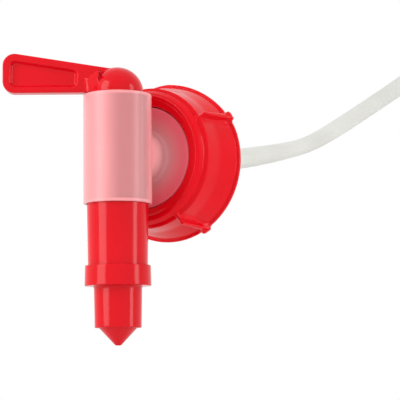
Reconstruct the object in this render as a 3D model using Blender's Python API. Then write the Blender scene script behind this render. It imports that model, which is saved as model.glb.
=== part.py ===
"""Jerrycan tap.

A lugged screw cap clamps a translucent tap body onto the neck of a can. A red key with a
flag-shaped lever turns in the body's barrel; its side window meets the neck tube when the
lever points to the front. A push-on nozzle with a pointed stopper ends the spout, and an air
tube runs from the back of the body into the can.

Frame: the origin is on the cap's axis, in the plane where the gasket meets the can's neck.
+Y points into the can, -Y to the front, +Z up. All sizes are in metres.
"""
import math

import bmesh
import bpy
from mathutils import Matrix, Vector

MM = 0.001
WELD = 0.002 * MM
MERGE = 0.0001 * MM

# Clearances: between pieces that touch or slide, and under the sweeping lever
FIT_GAP = 0.3 * MM
LEVER_GAP = 0.9 * MM

# Small chamfer on moulded edges, how far a cutter runs past the face it opens, and how deep
# a rib's foot is buried in the wall it stands on
EDGE = 0.4 * MM
OVERCUT = 1.0 * MM
BURIED = 0.4 * MM

# Facets round a full turn
CAP_SEGMENTS = 60
BODY_SEGMENTS = 46
SMALL_SEGMENTS = 32
THREAD_SEGMENTS = 40

# Can neck: its thread decides the cap, the gasket and the body's flange
NECK_THREAD_R = 30.7 * MM
THREAD_HEIGHT = 1.2 * MM
THREAD_FOOT = 2.6 * MM
THREAD_CREST = 1.0 * MM
THREAD_PITCH = 4.0 * MM
THREAD_TURNS = 2.25
THREAD_MOUTH = 2.4 * MM
THREAD_RUN_OUT = 12.0
THREAD_END_SHARE = 0.1

# Screw cap
CAP_DEPTH = 17.5 * MM
CAP_INNER_R = NECK_THREAD_R - 1.4 * MM
CAP_INNER_DEPTH = 2.0 * MM
CAP_INNER_RUN = 1.5 * MM
CAP_MOUTH_BEVEL = 1.2 * MM
CAP_GROOVE_R = CAP_INNER_R + 1.4 * MM
CAP_GROOVE_Y = -3.2 * MM
CAP_GROOVE_HALF = 0.7 * MM
CAP_GROOVE_EDGE = 0.6 * MM
CAP_SHOULDER_R = CAP_GROOVE_R + 1.9 * MM
CAP_SHOULDER_ROUND = 2.4 * MM
CAP_BEND_R = CAP_GROOVE_R + 3.3 * MM
CAP_BEND_Y = 3.0 * MM
CAP_BEND_ROUND = 1.0 * MM
CAP_SKIRT_END_R = NECK_THREAD_R + 5.6 * MM
CAP_LIP = 2.2 * MM
CAP_RIM_R = CAP_SKIRT_END_R + 1.2 * MM
CAP_FRONT_WALL = 2.0 * MM
CAP_FRONT_DOME = 1.8 * MM
CAP_FRONT_SLOPE = 2.8 * MM
CAP_FRONT_RISE = 1.1 * MM
CAP_HOLE_GAP = 0.5 * MM

# Lugs round the cap
LUG_COUNT = 4
LUG_FIRST_TURN = math.radians(31)
LUG_EAR_R = CAP_RIM_R + 1.9 * MM
LUG_FRONT_R = CAP_GROOVE_R + 5.9 * MM
LUG_FRONT_Y = -5.9 * MM
LUG_FRONT_RUN = 0.7 * MM
LUG_MIDDLE_R = CAP_GROOVE_R + 6.5 * MM
LUG_REAR_R = CAP_GROOVE_R + 7.4 * MM
LUG_FRONT_HALF = 0.7 * MM
LUG_MIDDLE_HALF = 0.9 * MM
LUG_REAR_HALF = 1.2 * MM
LUG_EAR_HALF = 2.4 * MM
LUG_FOOT_FLARE = 4.0 * MM
LUG_FOOT_RISE = 1.4 * MM
LUG_CROWN = 0.6
LUG_SIDES = 6
LUG_SETBACK = 0.4 * MM
LUG_EAR_RUN = 5.5 * MM
LUG_END_RUN = 2.6 * MM

# Flange of the tap body, and the gasket between it and the can's neck
LIP_R = CAP_INNER_R - 0.7 * MM
LIP_THICKNESS = 2.4 * MM
DISC_R = LIP_R - 5.1 * MM
DISC_STEP = 1.9 * MM
PLATE_THICKNESS = 2.6 * MM
GASKET_THICKNESS = 2.4 * MM
GASKET_INNER_R = DISC_R - 1.0 * MM
GASKET_OUTER_R = CAP_INNER_R - 0.4 * MM
LOCATING_WALL = 1.8 * MM
LOCATING_SETBACK = 0.6 * MM

# Neck tube and inlet spigot, split by a partition into air above and liquid below
NECK_BORE_R = 9.8 * MM
NECK_R = NECK_BORE_R + 2.0 * MM
NECK_FILLET = 1.8 * MM
PARTITION = 1.8 * MM
SPIGOT_LENGTH = 6.0 * MM

# Air tube: its route is chosen by hand in the plane X = 0, as millimetres along Y and millimetres
# above the socket's axis
TUBE_R = 5.5 * MM
TUBE_POINTS = 30
CURVE_STEPS = 12
TUBE_ROUTE_MM = (
    (20.0, 0.0),
    (44.0, 0.8),
    (68.0, 3.1),
    (93.0, 6.8),
    (128.0, 13.4),
    (158.0, 20.0),
    (181.0, 26.8),
    (206.0, 36.0),
    (238.0, 48.6),
    (270.0, 61.4),
    (302.0, 74.4),
    (331.0, 86.6),
)

# Air socket, a boss behind the flange that touches the spigot's outline from inside
SOCKET_R = TUBE_R + FIT_GAP
SOCKET_DEPTH = 10.0 * MM
SOCKET_FLOOR_STEP = 1.2 * MM
BOSS_R = SOCKET_R + 1.5 * MM
BOSS_START_Y = 1.0 * MM
BOSS_INSET = 0.3 * MM
SOCKET_HEIGHT = NECK_R - BOSS_R - BOSS_INSET
AIR_END_WALL = 3.0 * MM
PASSAGE_LEDGE = 0.1 * MM
AIR_PASSAGE_R = SOCKET_HEIGHT - PARTITION / 2.0 - PASSAGE_LEDGE
PASSAGE_START_Y = 1.5 * MM

# Tapered plug of the key, and the bead that snaps into the bore
PLUG_TOP_R = 13.9 * MM
PLUG_BOTTOM_R = PLUG_TOP_R - 0.15 * MM
PLUG_WALL = 1.9 * MM
PLUG_RISE = 0.4 * MM
WINDOW_R = 9.3 * MM
BEAD_DROP = 4.6 * MM
BEAD_PROUD = 0.25 * MM
BEAD_HALF = 0.9 * MM

# Barrel round the plug, and how far its axis stands in front of the disc
BARREL_R = PLUG_TOP_R + FIT_GAP + 1.1 * MM
BARREL_TOP = 25.7 * MM
BARREL_BOTTOM = -23.4 * MM
BARREL_FORWARD = 23.0 * MM

# Domed hub
HUB_R = PLUG_TOP_R - 2.1 * MM
HUB_BASE = 0.4 * MM
HUB_WALL = 2.4 * MM
HUB_NECK_LOW = 3.4 * MM
HUB_NECK_HIGH = 0.9 * MM

# Lever: heights are above the barrel's top, at its free end and at the key's axis
LEVER_LENGTH = 51.2 * MM
LEVER_END_RISE = 19.7 * MM
LEVER_AXIS_RISE = 11.4 * MM
LEVER_THICKNESS = 6.5 * MM
LEVER_CORNER_R = 5.3 * MM
LEVER_EDGE = 0.7 * MM
REST_TURN = math.radians(30)

# Recessed panel on both faces of the lever
PANEL_DEPTH = 1.8 * MM
PANEL_BORDER = 3.1 * MM
PANEL_FOOT = 2.4 * MM
PANEL_NEAR_END = 17.6 * MM
PANEL_DRAFT = 1.2 * MM
PANEL_CORNER_R = 2.6 * MM

# Root between lever and hub: flat sides that run into the hub, under a rising roof
ROOT_START = 14.1 * MM
ROOT_END = 7.8 * MM
ROOT_HALF_WIDTH = HUB_R - 3.1 * MM
ROOT_START_RISE = 6.9 * MM
ROOT_END_RISE = 10.3 * MM
ROOT_LEAN = 0.6 * MM
ROOT_SINK = 0.1 * MM

# Spout below the barrel
SPOUT_LENGTH = 34.8 * MM
SPOUT_END_R = PLUG_BOTTOM_R - 0.55 * MM
SPOUT_WALL = 1.8 * MM

# Push-on nozzle
COLLAR_HEIGHT = 9.2 * MM
COLLAR_WALL = 1.03 * MM
COLLAR_FLARE = 0.2 * MM
COLLAR_FLOOR = 1.4 * MM
NOZZLE_LENGTH = 18.5 * MM
NOZZLE_BORE_R = 8.75 * MM
NOZZLE_END_R = NOZZLE_BORE_R + 1.65 * MM
NOZZLE_TOP_R = NOZZLE_END_R + 0.3 * MM
NOZZLE_FILLET = 1.0 * MM

# Pointed stopper
SHANK_LENGTH = 11.0 * MM
CONE_LENGTH = 7.7 * MM
CONE_R = NOZZLE_BORE_R - 0.55 * MM
CONE_TIP_R = 1.2 * MM
CONE_FLOOR = 2.2 * MM
CONE_FLOOR_R = 1.0 * MM
CONE_SEAT = 0.3 * MM
STOPPER_WALL = 1.5 * MM

# Planes that follow from the seal at Y = 0 and from the barrel
LIP_BACK_Y = -(GASKET_THICKNESS + FIT_GAP)
LIP_FRONT_Y = LIP_BACK_Y - LIP_THICKNESS
CAP_WALL_Y = LIP_FRONT_Y - FIT_GAP
DISC_FACE_Y = LIP_FRONT_Y - DISC_STEP
PLATE_BACK_Y = DISC_FACE_Y + PLATE_THICKNESS
BARREL_Y = DISC_FACE_Y - BARREL_FORWARD
SOCKET_FLOOR_Y = SPIGOT_LENGTH + SOCKET_FLOOR_STEP
SOCKET_MOUTH_Y = SOCKET_FLOOR_Y + SOCKET_DEPTH
SPOUT_END_Z = BARREL_BOTTOM - SPOUT_LENGTH
COLLAR_SEAT_Z = SPOUT_END_Z - FIT_GAP
COLLAR_END_Z = COLLAR_SEAT_Z - COLLAR_FLOOR
COLLAR_TOP_Z = COLLAR_END_Z + COLLAR_HEIGHT
NOZZLE_END_Z = COLLAR_END_Z - NOZZLE_LENGTH
LEVER_FOOT_Z = BARREL_TOP + LEVER_GAP
AXIS_DISPLAY = 20.0 * MM
TURN_Z_TO_Y = Matrix.Rotation(math.radians(-90), 4, "X")
TURN_Z_TO_X = Matrix.Rotation(math.radians(90), 4, "Y")


def clear_scene():
    for item in list(bpy.data.objects):
        bpy.data.objects.remove(item)


def plastic(name, color, roughness, transmission=0.0):
    """Principled material with linear colour values."""
    material = bpy.data.materials.new(name)
    material.use_nodes = True
    shader = material.node_tree.nodes["Principled BSDF"]
    shader.inputs["Base Color"].default_value = (*color, 1.0)
    shader.inputs["Roughness"].default_value = roughness
    shader.inputs["Metallic"].default_value = 0.0
    shader.inputs["Transmission Weight"].default_value = transmission
    material.diffuse_color = (*color, 1.0)
    return material


def solid(name, mesh_data, material=None):
    """Turn a bmesh of one closed shell into an object with outward normals."""
    bmesh.ops.remove_doubles(mesh_data, verts=mesh_data.verts, dist=MERGE)
    bmesh.ops.recalc_face_normals(mesh_data, faces=mesh_data.faces)
    if mesh_data.calc_volume(signed=True) < 0:
        bmesh.ops.reverse_faces(mesh_data, faces=mesh_data.faces)
    mesh = bpy.data.meshes.new(name)
    mesh_data.to_mesh(mesh)
    mesh_data.free()
    item = bpy.data.objects.new(name, mesh)
    bpy.context.scene.collection.objects.link(item)
    if material:
        mesh.materials.append(material)
    return item


def revolve(name, profile, segments, material=None, turn=None):
    """Spin a profile of (radius, height) points about Z; turn then tips that axis over.

    A profile that starts and ends on the axis stays open there, any other is closed.
    """
    bm = bmesh.new()
    points = [bm.verts.new((radius, 0.0, height)) for radius, height in profile]
    on_axis = profile[0][0] == 0.0 and profile[-1][0] == 0.0
    pairs = list(zip(points, points[1:]))
    if not on_axis:
        pairs.append((points[-1], points[0]))
    edges = [bm.edges.new(pair) for pair in pairs]
    bmesh.ops.spin(
        bm,
        geom=points + edges,
        cent=(0.0, 0.0, 0.0),
        axis=(0.0, 0.0, 1.0),
        angle=math.tau,
        steps=segments,
        use_merge=True,
    )
    bmesh.ops.remove_doubles(bm, verts=bm.verts, dist=MERGE)
    if turn:
        bm.transform(turn)
    return solid(name, bm, material)


def loft(name, sections, material=None):
    """Skin a row of closed sections with equal point counts, and cap both ends."""
    bm = bmesh.new()
    rings = [[bm.verts.new(point) for point in section] for section in sections]
    count = len(rings[0])
    for near, far in zip(rings, rings[1:]):
        for i in range(count):
            j = (i + 1) % count
            bm.faces.new((near[i], near[j], far[j], far[i]))
    bm.faces.new(rings[0])
    bm.faces.new(rings[-1])
    return solid(name, bm, material)


def weld(mesh):
    """Merge the near-duplicate points that a cut leaves, a thousandth of a millimetre apart."""
    bm = bmesh.new()
    bm.from_mesh(mesh)
    bmesh.ops.remove_doubles(bm, verts=bm.verts, dist=WELD)
    bm.to_mesh(mesh)
    bm.free()


def combine(target, tool, operation):
    """Apply an exact boolean to target and remove the tool."""
    modifier = target.modifiers.new(operation.title(), "BOOLEAN")
    modifier.operation = operation
    modifier.solver = "EXACT"
    modifier.object = tool
    depsgraph = bpy.context.evaluated_depsgraph_get()
    result = bpy.data.meshes.new_from_object(target.evaluated_get(depsgraph))
    target.modifiers.clear()
    weld(result)
    target.data = result
    bpy.data.objects.remove(tool)


def smooth(item, angle=math.radians(35)):
    item.data.shade_smooth()
    item.data.set_sharp_from_angle(angle=angle)


def arc(centre, radius, start, end, steps):
    """Points (radius, height) on a circle, with angles in degrees."""
    turns = [math.radians(start + (end - start) * i / steps) for i in range(steps + 1)]
    return [(centre[0] + radius * math.cos(t), centre[1] + radius * math.sin(t)) for t in turns]


def inset(corners, distance):
    """Move each side of a convex counter-clockwise polygon inwards."""
    moved = []
    for i, corner in enumerate(corners):
        before = (Vector(corner) - Vector(corners[i - 1])).normalized()
        after = (Vector(corners[(i + 1) % len(corners)]) - Vector(corner)).normalized()
        normal_before = Vector((-before.y, before.x))
        normal_after = Vector((-after.y, after.x))
        reach = distance / (1.0 + normal_before.dot(normal_after))
        moved.append(Vector(corner) + (normal_before + normal_after) * reach)
    return moved


def rounded(corners, radii, steps=5):
    """Round the corners of a convex polygon; a radius of 0 keeps a corner sharp."""
    outline = []
    for i, (corner, radius) in enumerate(zip(corners, radii)):
        if radius <= 0.0:
            outline.append(Vector(corner))
            continue
        back = (Vector(corners[i - 1]) - Vector(corner)).normalized()
        ahead = (Vector(corners[(i + 1) % len(corners)]) - Vector(corner)).normalized()
        half = back.angle(ahead) / 2.0
        centre = Vector(corner) + (back + ahead).normalized() * (radius / math.sin(half))
        first = Vector(corner) + back * (radius / math.tan(half)) - centre
        sweep = math.pi - 2.0 * half
        for k in range(steps + 1):
            step = sweep * k / steps
            turned = Matrix.Rotation(step, 2) @ first
            outline.append(centre + turned)
    return outline


def plug_radius(z):
    """Outer radius of the key's plug and spout, which taper downwards without a break."""
    if z >= BARREL_BOTTOM:
        share = (z - BARREL_BOTTOM) / (BARREL_TOP - BARREL_BOTTOM)
        return PLUG_BOTTOM_R + (PLUG_TOP_R - PLUG_BOTTOM_R) * share
    share = (BARREL_BOTTOM - z) / SPOUT_LENGTH
    return PLUG_BOTTOM_R + (SPOUT_END_R - PLUG_BOTTOM_R) * share


def bead(radius_at, middle, proud):
    """Snap ring across a profile that climbs in Z; a negative proud would cut a groove."""
    low, high = middle - BEAD_HALF, middle + BEAD_HALF
    third = BEAD_HALF / 3.0
    return [
        (radius_at(low), low),
        (radius_at(middle) + proud, middle - third),
        (radius_at(middle) + proud, middle + third),
        (radius_at(high), high),
    ]


def cap_skirt_radius(y):
    """Outer radius behind the groove: a flare up to the bend, then nearly straight to the lip."""
    if y < CAP_BEND_Y:
        share = max((y - CAP_GROOVE_Y) / (CAP_BEND_Y - CAP_GROOVE_Y), 0.0)
        return CAP_GROOVE_R + (CAP_BEND_R - CAP_GROOVE_R) * share
    share = min((y - CAP_BEND_Y) / (CAP_DEPTH - CAP_LIP - CAP_BEND_Y), 1.0)
    return CAP_BEND_R + (CAP_SKIRT_END_R - CAP_BEND_R) * share


def cap_profile():
    hole = DISC_R + CAP_HOLE_GAP
    front = CAP_WALL_Y - CAP_FRONT_WALL
    shoulder_r = CAP_SHOULDER_R - CAP_SHOULDER_ROUND
    shoulder_y = front - CAP_FRONT_DOME + CAP_SHOULDER_ROUND
    profile = [(hole, CAP_WALL_Y), (hole, front + EDGE), (hole + EDGE, front)]
    profile += [(hole + CAP_FRONT_SLOPE, front - CAP_FRONT_RISE)]
    profile += arc((shoulder_r, shoulder_y), CAP_SHOULDER_ROUND, -100, 50, 6)
    profile += [(CAP_GROOVE_R, CAP_GROOVE_Y - CAP_GROOVE_HALF), (CAP_GROOVE_R, CAP_GROOVE_Y)]
    skirt_end = CAP_DEPTH - CAP_LIP
    edge_y = CAP_GROOVE_Y + CAP_GROOVE_EDGE
    for y in (edge_y, CAP_BEND_Y - CAP_BEND_ROUND, CAP_BEND_Y + CAP_BEND_ROUND, skirt_end):
        profile.append((cap_skirt_radius(y), y))
    profile += [(CAP_RIM_R, skirt_end + EDGE), (CAP_RIM_R, CAP_DEPTH - EDGE)]
    profile += [(CAP_RIM_R - EDGE, CAP_DEPTH)]
    profile += [(NECK_THREAD_R + CAP_MOUTH_BEVEL, CAP_DEPTH)]
    profile += [(NECK_THREAD_R, CAP_DEPTH - CAP_MOUTH_BEVEL)]
    profile += [(NECK_THREAD_R, CAP_INNER_DEPTH + CAP_INNER_RUN)]
    profile += [(CAP_INNER_R, CAP_INNER_DEPTH), (CAP_INNER_R, CAP_WALL_Y)]
    return profile


def on_cap(radius, turn, sideways, y):
    """Point at a radius and a turn about the cap's axis, shifted sideways along the tangent."""
    x = radius * math.cos(turn) - sideways * math.sin(turn)
    z = radius * math.sin(turn) + sideways * math.cos(turn)
    return (x, y, z)


def lug_section(turn, y, top_r, half_width):
    """Rounded rib that flares at the skirt, with its wide foot buried in the cap's wall."""
    inside_r = NECK_THREAD_R if y > CAP_INNER_DEPTH else CAP_INNER_R
    foot_r = inside_r + BURIED
    foot_half = half_width + LUG_FOOT_FLARE
    side_r = min(cap_skirt_radius(y) + LUG_FOOT_RISE, top_r - EDGE)
    section = [on_cap(foot_r, turn, -foot_half, y)]
    for i in range(LUG_SIDES + 1):
        t = math.pi * i / LUG_SIDES
        radius = side_r + (top_r - side_r) * math.sin(t) ** LUG_CROWN
        section.append(on_cap(radius, turn, -half_width * math.cos(t), y))
    section.append(on_cap(foot_r, turn, foot_half, y))
    return section


def cap_lug(turn):
    """Thin tall rib with a steep front that ends in a wider, rounded ear at the rim."""
    front_y = LUG_FRONT_Y + LUG_FRONT_RUN
    return loft("lug", [
        lug_section(turn, LUG_FRONT_Y, CAP_SHOULDER_R, LUG_FRONT_HALF),
        lug_section(turn, front_y, LUG_FRONT_R, LUG_FRONT_HALF),
        lug_section(turn, CAP_BEND_Y, LUG_MIDDLE_R, LUG_MIDDLE_HALF),
        lug_section(turn, CAP_DEPTH - LUG_EAR_RUN, LUG_REAR_R, LUG_REAR_HALF),
        lug_section(turn, CAP_DEPTH - LUG_END_RUN, LUG_EAR_R, LUG_EAR_HALF),
        lug_section(turn, CAP_DEPTH - LUG_SETBACK, LUG_EAR_R - EDGE, LUG_EAR_HALF),
    ])


def cap_thread():
    """Trapezoid rib wound on a helix inside the cap, running out to nothing at both ends."""
    steps = round(THREAD_SEGMENTS * THREAD_TURNS)
    start = CAP_DEPTH - THREAD_MOUTH - THREAD_PITCH * THREAD_TURNS
    root_r = NECK_THREAD_R + BURIED
    sections = []
    for i in range(steps + 1):
        share = i / steps
        turn = math.tau * THREAD_TURNS * share
        y = start + THREAD_PITCH * THREAD_TURNS * share
        from_end = min(share, 1.0 - share)
        full = min(1.0, THREAD_RUN_OUT * from_end + THREAD_END_SHARE)
        crest_r = NECK_THREAD_R - THREAD_HEIGHT * full
        outline = (
            (root_r, -THREAD_FOOT / 2.0),
            (crest_r, -THREAD_CREST / 2.0),
            (crest_r, THREAD_CREST / 2.0),
            (root_r, THREAD_FOOT / 2.0),
        )
        sections.append([on_cap(radius, turn, 0.0, y + dy) for radius, dy in outline])
    return loft("thread", sections)


def build_cap(material):
    cap = revolve("screw_cap", cap_profile(), CAP_SEGMENTS, material, TURN_Z_TO_Y)
    for i in range(LUG_COUNT):
        combine(cap, cap_lug(LUG_FIRST_TURN + math.tau * i / LUG_COUNT), "UNION")
    combine(cap, cap_thread(), "UNION")
    smooth(cap)
    return cap


def build_gasket(material):
    profile = [
        (GASKET_INNER_R, 0.0),
        (GASKET_OUTER_R, 0.0),
        (GASKET_OUTER_R, -GASKET_THICKNESS),
        (GASKET_INNER_R, -GASKET_THICKNESS),
    ]
    gasket = revolve("neck_gasket", profile, CAP_SEGMENTS, material, TURN_Z_TO_Y)
    smooth(gasket)
    return gasket


def flange_solid(material):
    """Neck tube, disc, clamped lip, locating ring and spigot, still without bores."""
    ring_r = GASKET_INNER_R - FIT_GAP
    fillet = arc((NECK_R + NECK_FILLET, DISC_FACE_Y - NECK_FILLET), NECK_FILLET, 180, 90, 4)
    profile = [(0.0, BARREL_Y), (NECK_R, BARREL_Y)]
    profile += fillet
    profile += [(DISC_R - EDGE, DISC_FACE_Y), (DISC_R, DISC_FACE_Y + EDGE)]
    profile += [(DISC_R, LIP_FRONT_Y), (LIP_R, LIP_FRONT_Y), (LIP_R, LIP_BACK_Y)]
    profile += [(ring_r, LIP_BACK_Y), (ring_r, -LOCATING_SETBACK)]
    profile += [(ring_r - LOCATING_WALL, -LOCATING_SETBACK)]
    profile += [(ring_r - LOCATING_WALL, PLATE_BACK_Y)]
    profile += [(NECK_R, PLATE_BACK_Y), (NECK_R, SPIGOT_LENGTH - EDGE)]
    profile += [(NECK_R - EDGE, SPIGOT_LENGTH), (0.0, SPIGOT_LENGTH)]
    return revolve("tap_body", profile, BODY_SEGMENTS, material, TURN_Z_TO_Y)


def barrel_solid():
    profile = [(0.0, BARREL_BOTTOM), (BARREL_R - EDGE, BARREL_BOTTOM)]
    profile += [(BARREL_R, BARREL_BOTTOM + EDGE), (BARREL_R, BARREL_TOP - EDGE)]
    profile += [(BARREL_R - EDGE, BARREL_TOP), (0.0, BARREL_TOP)]
    barrel = revolve("barrel", profile, BODY_SEGMENTS)
    barrel.location.y = BARREL_Y
    return barrel


def bore_radius(z):
    return plug_radius(max(z, BARREL_BOTTOM)) + FIT_GAP


def barrel_bore():
    """Tapered bore with the groove that the key's bead snaps into."""
    low, high = BARREL_BOTTOM - OVERCUT, BARREL_TOP + OVERCUT
    profile = [(0.0, low), (bore_radius(BARREL_BOTTOM), low)]
    profile += bead(bore_radius, BARREL_TOP - BEAD_DROP, BEAD_PROUD)
    profile += [(bore_radius(BARREL_TOP), high), (0.0, high)]
    bore = revolve("bore", profile, BODY_SEGMENTS)
    bore.location.y = BARREL_Y
    return bore


def half_bore(side, back_y):
    """Half of the neck's round bore: side is 1 above the partition and -1 below it."""
    flat = PARTITION / 2.0
    edge = math.asin(flat / NECK_BORE_R)
    steps = BODY_SEGMENTS // 3
    outline = []
    for i in range(steps + 1):
        turn = edge + (math.pi - 2.0 * edge) * i / steps
        outline.append((NECK_BORE_R * math.cos(turn), side * NECK_BORE_R * math.sin(turn)))
    ends = (BARREL_Y, back_y)
    return loft("half_bore", [[(x, y, z) for x, z in outline] for y in ends])


def straight_rod(name, radius, start, end, segments, turn, centre=(0.0, 0.0, 0.0)):
    profile = [(0.0, start), (radius, start), (radius, end), (0.0, end)]
    rod = revolve(name, profile, segments, turn=turn)
    rod.location = centre
    return rod


def build_body(material):
    at_socket = (0.0, 0.0, SOCKET_HEIGHT)
    body = flange_solid(material)
    boss = straight_rod("boss", BOSS_R, BOSS_START_Y, SOCKET_MOUTH_Y,
                        SMALL_SEGMENTS, TURN_Z_TO_Y, at_socket)
    combine(body, boss, "UNION")
    combine(body, barrel_solid(), "UNION")
    combine(body, half_bore(-1, SPIGOT_LENGTH + OVERCUT), "DIFFERENCE")
    combine(body, half_bore(1, SOCKET_FLOOR_Y - AIR_END_WALL), "DIFFERENCE")
    socket = straight_rod("socket", SOCKET_R, SOCKET_FLOOR_Y, SOCKET_MOUTH_Y + OVERCUT,
                          SMALL_SEGMENTS, TURN_Z_TO_Y, at_socket)
    combine(body, socket, "DIFFERENCE")
    passage = straight_rod("passage", AIR_PASSAGE_R, PASSAGE_START_Y, SOCKET_FLOOR_Y + OVERCUT,
                           SMALL_SEGMENTS, TURN_Z_TO_Y, at_socket)
    combine(body, passage, "DIFFERENCE")
    combine(body, barrel_bore(), "DIFFERENCE")
    smooth(body)
    return body


def key_outside(material):
    """Spout, plug and domed hub as one turned solid."""
    top = BARREL_TOP + PLUG_RISE
    profile = [(0.0, SPOUT_END_Z), (SPOUT_END_R - EDGE, SPOUT_END_Z)]
    profile += [(plug_radius(SPOUT_END_Z + EDGE), SPOUT_END_Z + EDGE)]
    profile += [(PLUG_BOTTOM_R, BARREL_BOTTOM)]
    profile += bead(plug_radius, BARREL_TOP - BEAD_DROP, BEAD_PROUD)
    profile += [(PLUG_TOP_R, top - EDGE), (PLUG_TOP_R - EDGE, top), (HUB_R, top)]
    profile += arc((0.0, top + HUB_BASE), HUB_R, 0, 90, 10)
    profile[-1] = (0.0, top + HUB_BASE + HUB_R)
    return revolve("key", profile, BODY_SEGMENTS, material)


def key_cavity():
    """Flow space from the spout's mouth up into the hub."""
    top = BARREL_TOP + PLUG_RISE
    inner_hub = HUB_R - HUB_WALL
    plug_r = PLUG_BOTTOM_R - PLUG_WALL
    low = SPOUT_END_Z - OVERCUT
    profile = [(0.0, low), (SPOUT_END_R - SPOUT_WALL, low), (plug_r, BARREL_BOTTOM)]
    profile += [(plug_r, top - HUB_NECK_LOW), (inner_hub, top - HUB_NECK_HIGH)]
    profile += arc((0.0, top + HUB_BASE), inner_hub, 0, 90, 6)
    profile[-1] = (0.0, top + HUB_BASE + inner_hub)
    return revolve("cavity", profile, BODY_SEGMENTS)


def lever_corners():
    """Outline in the lever's own plane (X along the lever, Z up), counter-clockwise."""
    return [
        (-LEVER_LENGTH, LEVER_FOOT_Z),
        (0.0, LEVER_FOOT_Z),
        (0.0, BARREL_TOP + LEVER_AXIS_RISE),
        (-LEVER_LENGTH, BARREL_TOP + LEVER_END_RISE),
    ]


def lever_plate():
    half = LEVER_THICKNESS / 2.0
    radii = (LEVER_CORNER_R, 0.0, 0.0, LEVER_CORNER_R)
    sections = []
    levels = ((-half, LEVER_EDGE), (LEVER_EDGE - half, 0.0), (half - LEVER_EDGE, 0.0))
    for y, edge in levels + ((half, LEVER_EDGE),):
        corners = inset(lever_corners(), edge)
        outline = rounded(corners, [max(radius - edge, 0.0) for radius in radii])
        sections.append([(point.x, y, point.y) for point in outline])
    return loft("lever", sections)


def panel_corners():
    """Outline of the recess, parallel to the lever's own edges."""
    foot = LEVER_FOOT_Z + PANEL_FOOT
    slope = (LEVER_END_RISE - LEVER_AXIS_RISE) / LEVER_LENGTH
    drop = PANEL_BORDER * math.hypot(1.0, slope)
    far = LEVER_LENGTH - PANEL_BORDER
    near_top = BARREL_TOP + LEVER_AXIS_RISE + slope * PANEL_NEAR_END - drop
    far_top = BARREL_TOP + LEVER_AXIS_RISE + slope * far - drop
    return [(-far, foot), (-PANEL_NEAR_END, foot), (-PANEL_NEAR_END, near_top), (-far, far_top)]


def panel_cut(side):
    """Drafted pocket in one face of the lever."""
    half = LEVER_THICKNESS / 2.0
    sections = []
    for depth in (-OVERCUT, PANEL_DEPTH):
        draft = PANEL_DRAFT * depth / PANEL_DEPTH
        radius = PANEL_CORNER_R - draft
        outline = rounded(inset(panel_corners(), draft), [radius] * 4)
        sections.append([(point.x, side * (half - depth), point.y) for point in outline])
    return loft("panel", sections)


def root_section(x, half, rise, edge):
    """Section across the lever, leaning in at its foot, with its upper edges cut by edge."""
    foot = LEVER_FOOT_Z + ROOT_SINK
    top = BARREL_TOP + rise
    low_half = half - ROOT_LEAN
    right_side = [(x, low_half, foot), (x, half, top - edge), (x, half - edge, top)]
    left_side = [(x, -y, z) for x, y, z in reversed(right_side)]
    return right_side + left_side


def lever_root():
    """Gusset that widens from the lever's thickness until its flat sides meet the hub."""
    start_half = LEVER_THICKNESS / 2.0 - ROOT_SINK
    return loft("root", [
        root_section(-ROOT_START, start_half, ROOT_START_RISE, EDGE),
        root_section(-ROOT_END, ROOT_HALF_WIDTH, ROOT_END_RISE, EDGE),
    ])


def build_key(material):
    key = key_outside(material)
    lever = lever_plate()
    for side in (-1, 1):
        combine(lever, panel_cut(side), "DIFFERENCE")
    combine(key, lever, "UNION")
    combine(key, lever_root(), "UNION")
    combine(key, key_cavity(), "DIFFERENCE")
    window = straight_rod("window", WINDOW_R, PLUG_WALL, BARREL_R + OVERCUT,
                          SMALL_SEGMENTS, TURN_Z_TO_X)
    combine(key, window, "DIFFERENCE")
    smooth(key)
    return key


def build_nozzle(material):
    socket_top = plug_radius(COLLAR_TOP_Z) + FIT_GAP
    socket_end = plug_radius(SPOUT_END_Z) + FIT_GAP
    top_r = socket_top + COLLAR_WALL
    bottom_r = top_r + COLLAR_FLARE
    profile = [(socket_top, COLLAR_TOP_Z), (top_r - EDGE, COLLAR_TOP_Z)]
    profile += [(top_r, COLLAR_TOP_Z - EDGE), (bottom_r, COLLAR_END_Z + EDGE)]
    profile += [(bottom_r - EDGE, COLLAR_END_Z)]
    fillet_centre = (NOZZLE_TOP_R + NOZZLE_FILLET, COLLAR_END_Z - NOZZLE_FILLET)
    profile += arc(fillet_centre, NOZZLE_FILLET, 90, 180, 4)
    profile += [(NOZZLE_END_R, NOZZLE_END_Z + EDGE), (NOZZLE_END_R - EDGE, NOZZLE_END_Z)]
    profile += [(NOZZLE_BORE_R, NOZZLE_END_Z), (NOZZLE_BORE_R, COLLAR_SEAT_Z)]
    profile += [(socket_end, COLLAR_SEAT_Z)]
    nozzle = revolve("spout_nozzle", profile, BODY_SEGMENTS, material)
    smooth(nozzle)
    return nozzle


def build_stopper(material):
    """Pointed plug, hollow from above, that closes the nozzle's mouth."""
    shank_r = NOZZLE_BORE_R - FIT_GAP
    top = NOZZLE_END_Z + SHANK_LENGTH
    tip = NOZZLE_END_Z - CONE_LENGTH
    inner = shank_r - STOPPER_WALL
    profile = [(0.0, tip), (CONE_TIP_R, tip), (CONE_R, NOZZLE_END_Z - CONE_SEAT)]
    profile += [(shank_r, NOZZLE_END_Z), (shank_r, top - EDGE), (shank_r - EDGE, top)]
    profile += [(inner, top), (inner, NOZZLE_END_Z)]
    profile += [(CONE_FLOOR_R, tip + CONE_FLOOR), (0.0, tip + CONE_FLOOR)]
    stopper = revolve("nozzle_stopper", profile, BODY_SEGMENTS, material)
    smooth(stopper)
    return stopper


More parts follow.
